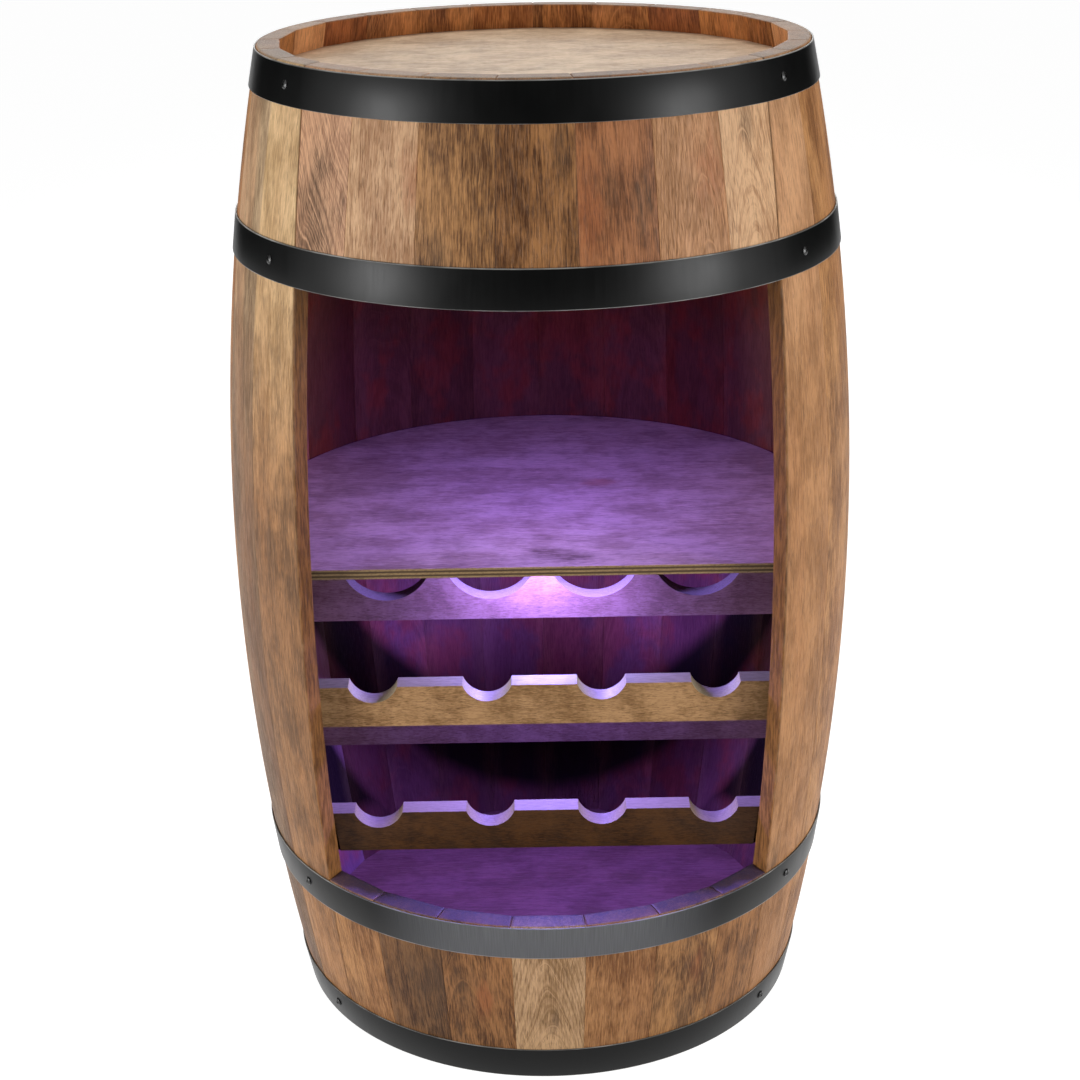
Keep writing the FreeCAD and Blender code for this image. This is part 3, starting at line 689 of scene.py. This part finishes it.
def made_by_nodes(name, tree, values, mesh=None):
    """Plain mesh that a geometry tree gives for its input values."""
    carrier = bpy.data.objects.new(name + "_carrier", mesh or bpy.data.meshes.new(name + "_carrier"))
    bpy.context.scene.collection.objects.link(carrier)
    modifier = carrier.modifiers.new("shape", "NODES")
    modifier.node_group = tree
    for socket in tree.interface.items_tree:
        if socket.in_out == "INPUT" and socket.name in values:
            modifier[socket.identifier] = values[socket.name]
    evaluated = carrier.evaluated_get(bpy.context.evaluated_depsgraph_get())
    made = bpy.data.meshes.new_from_object(evaluated)
    made.name = name
    carrier.modifiers.remove(modifier)
    bpy.data.objects.remove(carrier)
    return made


def lifted(shape, height):
    """Shape moved upwards."""
    inputs = {"Geometry": shape, "Translation": joined(0, 0, height)}
    return result(shape.id_data, "GeometryNodeTransform", inputs)


steel_band, band_in, band_out = new_tree(
    "GeometryNodeTree", "steel_band",
    dict.fromkeys(("Radius", "Height", "Slope", "Width", "Thickness", "Rounding", "Lap"), "Float")
    | {"Finish": "Material"}, {"Geometry": "Geometry"})
rolled = partial(result, steel_band)
strip = rolled("GeometryNodeCurvePrimitiveQuadrilateral",
               {"Width": band_in["Thickness"], "Height": band_in["Width"]}, mode="RECTANGLE")
strip = rolled("GeometryNodeFilletCurve",
               {"Curve": strip, "Radius": band_in["Rounding"], "Count": 3}, mode="POLY")
strip = rolled("GeometryNodeTransform", {"Geometry": strip, "Rotation": joined(0, 0, band_in["Slope"])})
ring = rolled("GeometryNodeCurvePrimitiveCircle",
              {"Resolution": 288, "Radius": band_in["Radius"]}, mode="RADIUS")
ring = rolled("GeometryNodeCurveToMesh", {"Curve": ring, "Profile Curve": strip})
lap_start = times_plus(band_in["Lap"], -0.5, math.pi / 2)
lap_radius = plus(band_in["Radius"], band_in["Thickness"])
lap = rolled("GeometryNodeCurveArc", {"Resolution": 16, "Radius": lap_radius, "Start Angle": lap_start,
                                      "Sweep Angle": band_in["Lap"]}, mode="RADIUS")
lap = rolled("GeometryNodeCurveToMesh", {"Curve": lap, "Profile Curve": strip, "Fill Caps": True})
band = add(steel_band, "GeometryNodeJoinGeometry", {0: ring})
steel_band.links.new(lap, band.inputs[0])
band = lifted(band.outputs[0], band_in["Height"])
band = rolled("GeometryNodeRealizeInstances", {0: band})
band = rolled("GeometryNodeSetMaterial", {"Geometry": band, "Material": band_in["Finish"]})
steel_band.links.new(band, band_out.inputs[0])
bare_steel = (0.34, 0.33, 0.31)
bare_edge_start, bare_edge_end = hoop_width / 2 - 0.0011, hoop_width / 2 - 0.0004


def hoop_material(name, middle, side_tone, painted_front_reflection):
    """Satin black steel, brushed upwards, with a bare line along its arrises and a front tone, which on the
    lower hoop is a painted reflection of the floor.
    """
    made, surface, place = new_material(name)
    across, away, height = split(place)
    turn = maths("ARCTAN2", away, across)
    unrolled = joined(turn, height)
    streaks = noise(unrolled, (330, 22, 1), detail=3, roughness=0.6)
    clouds = noise(unrolled, (6, 22, 1), (3, 5, 0), 3.0)
    edge = ranged(maths("ABSOLUTE", less(height, middle)), bare_edge_start, bare_edge_end)
    bare = times(edge, ranged(clouds, 0.4, 0.62, 0.35, 0.95))
    facing = times(maths("SINE", turn), -1.0)
    paint = mixed(ranged(facing, 0.8, 0.99), side_tone, painted_front_reflection)
    brushed = mixed(ranged(streaks, 0.3, 0.7), (0.86, 0.86, 0.86), (1.14, 1.16, 1.14))
    tint = mixed(bare, mixed(1.0, paint, brushed, "MULTIPLY"), bare_steel)
    rough = plus(ranged(streaks, 0.3, 0.7, 0.32, 0.37), ranged(clouds, 0.3, 0.7, -0.02, 0.03))
    finished(surface, tint, rough, streaks, strength=0.03, distance=0.0003, specular=0.17)
    return made


black_paint = (0.0025, 0.0026, 0.0026)
# The front of the lower hoop is lighter grey: a painted reflection of the floor.
painted_front_reflections = {"lower_hoop": (0.125, 0.126, 0.127)}
for node, bottom in hoop_bottoms.items():
    seat_radius, seat_height, slope = hoop_seat(bottom)
    finish = hoop_material(node + "_black", seat_height, black_paint, painted_front_reflections.get(node, black_paint))
    sizes = {"Radius": seat_radius + math.cos(slope) * hoop_thickness / 2,
             "Height": seat_height + math.sin(slope) * hoop_thickness / 2, "Slope": -slope,
             "Width": hoop_width, "Thickness": hoop_thickness, "Rounding": hoop_rounding, "Lap": hoop_lap,
             "Finish": finish}
    band_mesh = made_by_nodes(node + "_band", steel_band, sizes)
    shown(node + "_band", band_mesh, node, 40)

# Hoop screws and rivets: black pan-head screws hold every hoop to four staves, and two domed
# rivets close each lap. Heads sit on the band and shanks point at the barrel's axis.
millimetre = 0.001
screw_sizes = {"Head Radius": 3.4, "Rim Height": 0.7, "Head Height": 2.0, "Shank Radius": 1.5,
               "Shank Length": 11.0, "Recess Width": 0.82, "Recess Length": 3.74, "Recess Depth": 1.0}
rivet_sizes = {"Head Radius": 4.0, "Rim Height": 0.3, "Head Height": 1.7, "Shank Radius": 2.0,
               "Shank Length": 2.4, "Recess Width": 0.0, "Recess Length": 0.0, "Recess Depth": 0.0}

fastener_inputs = {"Places": "Geometry", "Finish": "Material", "Dome Radius": "Float", "Scale": "Float",
                   "Recessed": "Bool"} | dict.fromkeys(screw_sizes, "Float")
domed_fastener, fit, fastener_out = new_tree(
    "GeometryNodeTree", "domed_fastener", fastener_inputs, {"Geometry": "Geometry"})
formed = partial(result, domed_fastener)
spin_seed = 7


def combined(operation, first, second):
    """Boolean of two solids."""
    made = add(domed_fastener, "GeometryNodeMeshBoolean", operation=operation, solver="EXACT")
    domed_fastener.links.new(first, made.inputs["Mesh 1" if operation == "DIFFERENCE" else "Mesh 2"])
    domed_fastener.links.new(second, made.inputs["Mesh 2"])
    return made.outputs[0]


ball = formed("GeometryNodeMeshUVSphere", {"Segments": 40, "Rings": 44, "Radius": fit["Dome Radius"]})
ball = lifted(ball, less(fit["Head Height"], fit["Dome Radius"]))
rim = formed("GeometryNodeMeshCylinder",
             {"Vertices": 40, "Radius": fit["Head Radius"], "Depth": fit["Head Height"]})
rim = lifted(rim, times(fit["Head Height"], 0.5))
dome = combined("INTERSECT", ball, rim)
shank = formed("GeometryNodeMeshCylinder",
               {"Vertices": 24, "Radius": fit["Shank Radius"], "Depth": fit["Shank Length"]})
shank = lifted(shank, times_plus(fit["Shank Length"], -0.5, 0.1))
whole = combined("UNION", dome, shank)
bar_size = joined(fit["Recess Length"], fit["Recess Width"], times(fit["Recess Depth"], 2.0))
bar = formed("GeometryNodeMeshCube", {"Size": bar_size})
crossbar = formed("GeometryNodeTransform", {"Geometry": bar, "Rotation": (0, 0, math.pi / 2)})
cross = lifted(combined("UNION", bar, crossbar), fit["Head Height"])
recessed = combined("DIFFERENCE", whole, cross)
fastener = formed("GeometryNodeSwitch", {"Switch": fit["Recessed"], "False": whole, "True": recessed},
                  input_type="GEOMETRY")
outwards = formed("GeometryNodeInputNamedAttribute", {"Name": "outwards"}, data_type="FLOAT_VECTOR")
upright = formed("FunctionNodeAlignRotationToVector", {"Vector": outwards}, axis="Z")
spin = add(domed_fastener, "FunctionNodeRandomValue",
           {"Min": 0.0, "Max": math.pi, "Seed": spin_seed}, data_type="FLOAT")
spin = [socket for socket in spin.outputs if socket.enabled][0]
spin = formed("FunctionNodeAxisAngleToRotation", {"Axis": (0, 0, 1), "Angle": spin})
turned_fastener = formed("FunctionNodeRotateRotation", {0: upright, 1: spin}, rotation_space="LOCAL")
placed = formed("GeometryNodeInstanceOnPoints",
                {"Points": fit["Places"], "Instance": fastener, "Rotation": turned_fastener,
                 "Scale": joined(fit["Scale"], fit["Scale"], fit["Scale"])})
placed = formed("GeometryNodeRealizeInstances", {0: placed})
placed = formed("GeometryNodeSetMaterial", {"Geometry": placed, "Material": fit["Finish"]})
domed_fastener.links.new(placed, fastener_out.inputs[0])


def metal_material(name, tint, worn, roughness, bright=False):
    """Blackened or bright metal with a mottled skin and worn spots."""
    made, surface, place = new_material(name)
    skin = (420, 4, 0.4, 0.2, 0.1) if bright else (700, 3, 0.45, 0.15, 0.15)
    scale, detail, start, spread, relief = skin
    mottle = noise(place, (scale, scale, scale), detail=detail)
    colour = mixed(ranged(mottle, start, 0.75), tint, worn)
    finished(surface, colour, ranged(mottle, 0.3, 0.7, roughness, roughness + spread), mottle, relief)
    surface.inputs["Metallic"].default_value = float(bright)
    return made


def on_hoops(name, angles, lift):
    """Carrier mesh with one point for a fastener at each angle of every hoop."""
    shell = bmesh.new()
    directions = shell.verts.layers.float_vector.new("outwards")
    for bottom in hoop_bottoms.values():
        seat_radius, seat_height, slope = hoop_seat(bottom)
        for angle in angles:
            plan = outward(angle)
            direction = Vector((plan.x * math.cos(slope), plan.y * math.cos(slope), math.sin(slope)))
            foot = Vector((plan.x * seat_radius, plan.y * seat_radius, seat_height))
            shell.verts.new(foot + direction * lift)[directions] = direction
    return mesh_from(shell, name)


screwed_staves = (1, 6)
screw_angles = [side * stave_angles(number)[1] for side in sides.values() for number in screwed_staves]
rivet_angles = [math.pi - hoop_lap / 4, math.pi + hoop_lap / 4]
for node, slot, sizes, angles, lift, finish in (
        ("hoop_screws", "black_screw", screw_sizes, screw_angles, hoop_thickness,
         metal_material("black_oxide", (0.004, 0.004, 0.004), (0.012, 0.012, 0.011), 0.26)),
        ("hoop_rivets", "hoop_rivet", rivet_sizes, rivet_angles, 2 * hoop_thickness,
         metal_material("rivet_black", (0.014, 0.014, 0.014), (0.05, 0.049, 0.046), 0.34))):
    crown_height = sizes["Head Height"] - sizes["Rim Height"]
    dome_radius = (crown_height ** 2 + sizes["Head Radius"] ** 2) / (2 * crown_height)
    values = sizes | {"Dome Radius": dome_radius, "Scale": millimetre, "Recessed": sizes["Recess Width"] > 0,
                      "Finish": finish}
    places = on_hoops(node + "_places", angles, lift)
    fasteners = made_by_nodes(node + "_heads", domed_fastener, values, places)
    shown(node + "_heads", fasteners, node, 35)

# Shelf and its pins: a plywood round with a straight front edge, laid on six steel pins
# that are pressed into the staves. The face veneer is stained; the edge shows bare plies.
merged_copy("shelf_pins", "shelf_pins_turned",
            metal_material("plain_steel", (0.55, 0.55, 0.56), (0.33, 0.33, 0.336), 0.3, bright=True))
shelf_low, shelf_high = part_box("shelf")
ply_count = 5
stains["veneer"] = ((0.58, 0.43, 0.285), (0.32, 0.212, 0.132))


def plywood_material(name):
    """Stained face veneer with bare plies of crossing grain on the edge."""
    made = board_material(name, board_look("veneer", 16, 0.04, 0.26, 0.04, dark=(-0.126, 0.012, 0.02),
                                           warm=(0.045, 0.06, 0.01)), shorten=1.2)
    tree = made.node_tree
    colour = tree.nodes["Principled BSDF"].inputs["Base Color"]
    face = colour.links[0].from_socket
    place = add(tree, "ShaderNodeTexCoord").outputs["Object"]
    height = plus(split(place)[2], times(less(noise(place, (30, 30, 30)), 0.5), 0.0009))
    layer = maths("DIVIDE", less(height, shelf_low.z), shelf_high.z - shelf_low.z)
    wave = maths("SINE", times(layer, ply_count * math.pi))
    specks = noise(place, (500, 500, 2500))
    ply = mixed(ranged(wave, -0.7, 0.7), (0.055, 0.031, 0.014), (0.29, 0.19, 0.09))
    ply = mixed(ranged(specks, 0.45, 0.7, 0.0, 0.6), ply, (0.07, 0.04, 0.018))
    flat = ranged(maths("ABSOLUTE", upward_part(tree)), 0.55, 0.8)
    tree.links.new(mixed(flat, ply, face), colour)
    return made


shelf = merged_copy("shelf", "shelf_board", plywood_material("shelf_stain"))
round_edges(shelf, 0.0004)

# Bottle rails: four hardwood boards on edge, notched by drilling, screwed into the staves from
# pockets behind their ends. The front pair takes bottle necks and the rear pair bottle bodies.
stains["oak"] = ((0.45, 0.258, 0.118), (0.2, 0.102, 0.038))
stains["dark_oak"] = ((0.078, 0.031, 0.009), (0.024, 0.009, 0.003))
stains["drab"] = ((0.235, 0.125, 0.1), (0.135, 0.064, 0.05))
# Each rail: its stain, and the tint of its upward faces, which is painted light on the tops; the lower neck
# rail's very dark stain is partly painted shade.
rail_looks = {
    "upper_neck_rail": (board_look("oak", 20, 0.05, 0.08, 0.0), (0.47, 0.385, 0.255)),
    "lower_neck_rail": (board_look("dark_oak", 22, 0.2, 0.1, 0.0), (0.33, 0.232, 0.18)),
    "upper_body_rail": (board_look("drab", 25, 0.05, 0.1, 0.0), (0.2, 0.14, 0.13)),
    "lower_body_rail": (board_look("drab", 28, 0.1, 0.15, 0.0), (0.2, 0.14, 0.13)),
}
for node, (look, painted_rail_top_tint) in rail_looks.items():
    rail_low, rail_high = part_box(node)
    centre = tuple((rail_low + rail_high) / 2)
    rail_stain = board_material(node + "_stain", look, order=(2, 1, 0), centre=centre, specular=0.2,
                                shorten=2.2, painted_rail_top_tint=painted_rail_top_tint)
    round_edges(merged_copy(node, node + "_board", rail_stain), 0.0007)
merged_copy("rail_screws", "rail_screws_turned",
            metal_material("zinc_plate", (0.62, 0.6, 0.52), (0.372, 0.36, 0.312), 0.35, bright=True))

# Push lights: one under the shelf and one under the head, each a moulded base stuck up with a
# foam pad, three cells, a lamp board, a cover ring and a frosted lens that is pressed to switch.
glows = {"shelf_light": ((0.25, 0.21, 1.0), 3.2, 178), "head_light": ((0.25, 0.16, 1.0), 1.08, 115)}
lamp_count = 6
lamp_ring = 0.0205
lens_width = 0.058
lens_glow = 2.5
lamp_gap = 0.0006


def moulded_material(name, tint, speck, roughness, relief):
    """Moulded or coated skin with a fine texture and slight colour drift."""
    made, surface, place = new_material(name)
    texture = noise(place, (1600, 1600, 1600))
    drift = noise(place, (60, 60, 60), detail=3)
    colour = mixed(ranged(drift, 0.35, 0.7), tint, [part * 0.86 for part in tint])
    colour = mixed(ranged(texture, 0.58, 0.75, 0.0, 0.5), colour, speck)
    finished(surface, colour, ranged(drift, 0.3, 0.7, roughness, roughness + 0.12), texture, relief)
    return made


def lens_material(name, centre):
    """Frosted violet lens, brighter under each lamp of the ring behind it."""
    made, surface, place = new_material(name)
    across, away = split(shifted(place, (-centre.x, -centre.y, 0)))[:2]
    turn = maths("COSINE", times(maths("ARCTAN2", away, across), lamp_count))
    from_ring = maths("ABSOLUTE", less(span(across, away), lamp_ring))
    spot = times(ranged(from_ring, 0.0, 0.011, 1.0, 0.0), ranged(turn, -0.6, 1.0))
    frost = noise(place, (900, 900, 900), detail=3)
    tint = mixed(ranged(frost, 0.35, 0.7), (0.86, 0.8, 0.95), (0.7, 0.62, 0.86))
    finished(surface, tint, ranged(frost, 0.3, 0.7, 0.35, 0.5), frost, 0.2)
    light = mixed(spot, (0.22, 0.1, 0.8), (0.75, 0.55, 1.0))
    made.node_tree.links.new(light, surface.inputs["Emission Color"])
    surface.inputs["Emission Strength"].default_value = lens_glow
    return made


def area_lamp(name, shape, width, power, place):
    """Lamp that shines from a disk or a sheet and isn't seen itself."""
    lamp = bpy.data.lights.new(name, "AREA")
    lamp.shape = shape
    lamp.size = width
    lamp.energy = power
    holder = bpy.data.objects.new(name, lamp)
    holder.location = place
    holder.visible_camera = False
    bpy.context.scene.collection.objects.link(holder)
    return holder


housing = moulded_material("white_housing", (0.82, 0.82, 0.8), (0.7, 0.7, 0.68), 0.42, 0.15)
foam = moulded_material("white_foam", (0.75, 0.75, 0.73), (0.55, 0.55, 0.53), 0.8, 0.7)
jacket = moulded_material("dark_jacket", (0.1, 0.11, 0.12), (0.05, 0.05, 0.06), 0.3, 0.05)
resist = moulded_material("white_resist", (0.78, 0.8, 0.76), (0.62, 0.66, 0.6), 0.35, 0.1)
light_finishes = {"pad": ("foam_pad", foam), "base": ("light_housing", housing),
                  "batteries": ("battery_jacket", jacket), "board": ("lamp_board", resist),
                  "cover": ("light_housing", housing)}
for light, (glow, power, spread) in glows.items():
    for part, (slot, finish) in light_finishes.items():
        node = "%s_%s" % (light, part)
        round_edges(merged_copy(node, node + "_moulding", finish), 0.0003)
    lens_low, lens_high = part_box(light + "_lens")
    lens_centre = (lens_low + lens_high) / 2
    merged_copy(light + "_lens", light + "_lens_cup",
                lens_material(light + "_frost", lens_centre), light + "_button")
    lamp_place = (lens_centre.x, lens_centre.y, lens_low.z - lamp_gap)
    lamp = area_lamp(light + "_glow", "DISK", lens_width, power, lamp_place)
    lamp.data.color = glow
    lamp.data.spread = math.radians(spread)
    if light == "shelf_light":
        # The floor is lit evenly, so this glow passes the lower rear rail without a shadow.
        passed_by = bpy.data.collections.new("passed_by_glow")
        passed_by.objects.link(bpy.data.objects["lower_body_rail_board"])
        passed_by.collection_objects[0].light_linking.link_state = "EXCLUDE"
        lamp.light_linking.blocker_collection = passed_by

# Studio: a wide pale floor under a white surround, soft boxes at the front corners, overhead and
# behind, and dark screens out of the camera's view, which the black hoops mirror.
scene = bpy.context.scene
scene.view_settings.view_transform = "Standard"


def seen_share(tree):
    """One for camera, mirror and glass rays, and zero for rays that light the object."""
    path = add(tree, "ShaderNodeLightPath").outputs
    return most(most(path["Is Camera Ray"], path["Is Glossy Ray"]), path["Is Transmission Ray"])


def stage_sheet(name, corners, material):
    """Flat sheet of the stage."""
    mesh = bpy.data.meshes.new(name)
    mesh.from_pydata(corners, [], [range(len(corners))])
    mesh.materials.append(material)
    sheet = bpy.data.objects.new(name, mesh)
    scene.collection.objects.link(sheet)
    return sheet


floor_paint = bpy.data.materials.new("floor_paint")
floor_paint.use_nodes = True
paint_tree = floor_paint.node_tree
paint_tree.nodes.clear()
matt = result(paint_tree, "ShaderNodeBsdfDiffuse", {"Color": (0.36, 0.36, 0.36)})
lift_white = result(paint_tree, "ShaderNodeEmission", {"Strength": times(seen_share(paint_tree), 0.95)})
floor_sum = result(paint_tree, "ShaderNodeAddShader", {0: matt, 1: lift_white})
add(paint_tree, "ShaderNodeOutputMaterial", {"Surface": floor_sum})
floor_reach = 40.0
floor_corners = [(floor_reach * x, floor_reach * y, 0) for x, y in ((-1, -1), (1, -1), (1, 1), (-1, 1))]
stage_sheet("floor", floor_corners, floor_paint)

screen_cloth, screen_surface, screen_place = new_material("screen_cloth")
screen_weave = mixed(noise(screen_place, (40, 40, 40)), (0.003, 0.003, 0.003), (0.006, 0.006, 0.006))
screen_cloth.node_tree.links.new(screen_weave, screen_surface.inputs["Base Color"])
screen_surface.inputs["Specular IOR Level"].default_value = 0.0
screen_distance, screen_top, screen_foot = 2.7, 3.0, 0.05
screen_turns = {"front": (0, 36), "left": (-122, 28), "right": (122, 28)}
for screen_name, (turn, half_angle) in screen_turns.items():
    ends = [outward(math.radians(turn + half_angle * end)) * screen_distance for end in (-1, 1)]
    foot = [(end.x, end.y, screen_foot) for end in ends]
    head = [(end.x, end.y, screen_top) for end in reversed(ends)]
    stage_sheet("screen_" + screen_name, foot + head, screen_cloth).visible_camera = False

world = bpy.data.worlds.new("white_surround")
world.use_nodes = True
scene.world = world
ambient = 0.09
sky = world.node_tree.nodes["Background"]
sky.inputs["Color"].default_value = (1, 1, 1, 1)
sky_strength = times_plus(seen_share(world.node_tree), 1 - ambient, ambient)
world.node_tree.links.new(sky_strength, sky.inputs["Strength"])

soft_boxes = {
    "left": (Vector((-2.1, -1.36, 0.68)), 0.85, 1.35, 48.0),
    "right": (Vector((2.1, -1.36, 0.68)), 0.85, 1.35, 48.0),
    "top": (Vector((0.0, 0.45, 2.3)), 1.4, 1.0, 23.0),
    "back": (Vector((0.0, 2.9, 1.0)), 1.6, 1.6, 16.0),
}
aim = Vector((0, 0, 0.42))
for box_name, (place, width, height, power) in soft_boxes.items():
    soft_box = area_lamp("soft_box_" + box_name, "RECTANGLE", width, power, place)
    soft_box.data.size_y = height
    soft_box.rotation_euler = (aim - place).to_track_quat("-Z", "Y").to_euler()

camera_data = bpy.data.cameras.new("camera")
camera_data.lens = 69.858
camera_data.sensor_width = 36.0
camera = bpy.data.objects.new("camera", camera_data)
camera_place = (-0.00146, -1.64102, 1.01717)
pitch, roll = 0.368, -0.0168
tilt = Matrix.Rotation(math.pi / 2 - pitch, 4, "X") @ Matrix.Rotation(roll, 4, "Z")
camera.matrix_world = Matrix.Translation(camera_place) @ tilt
scene.collection.objects.link(camera)
scene.camera = camera
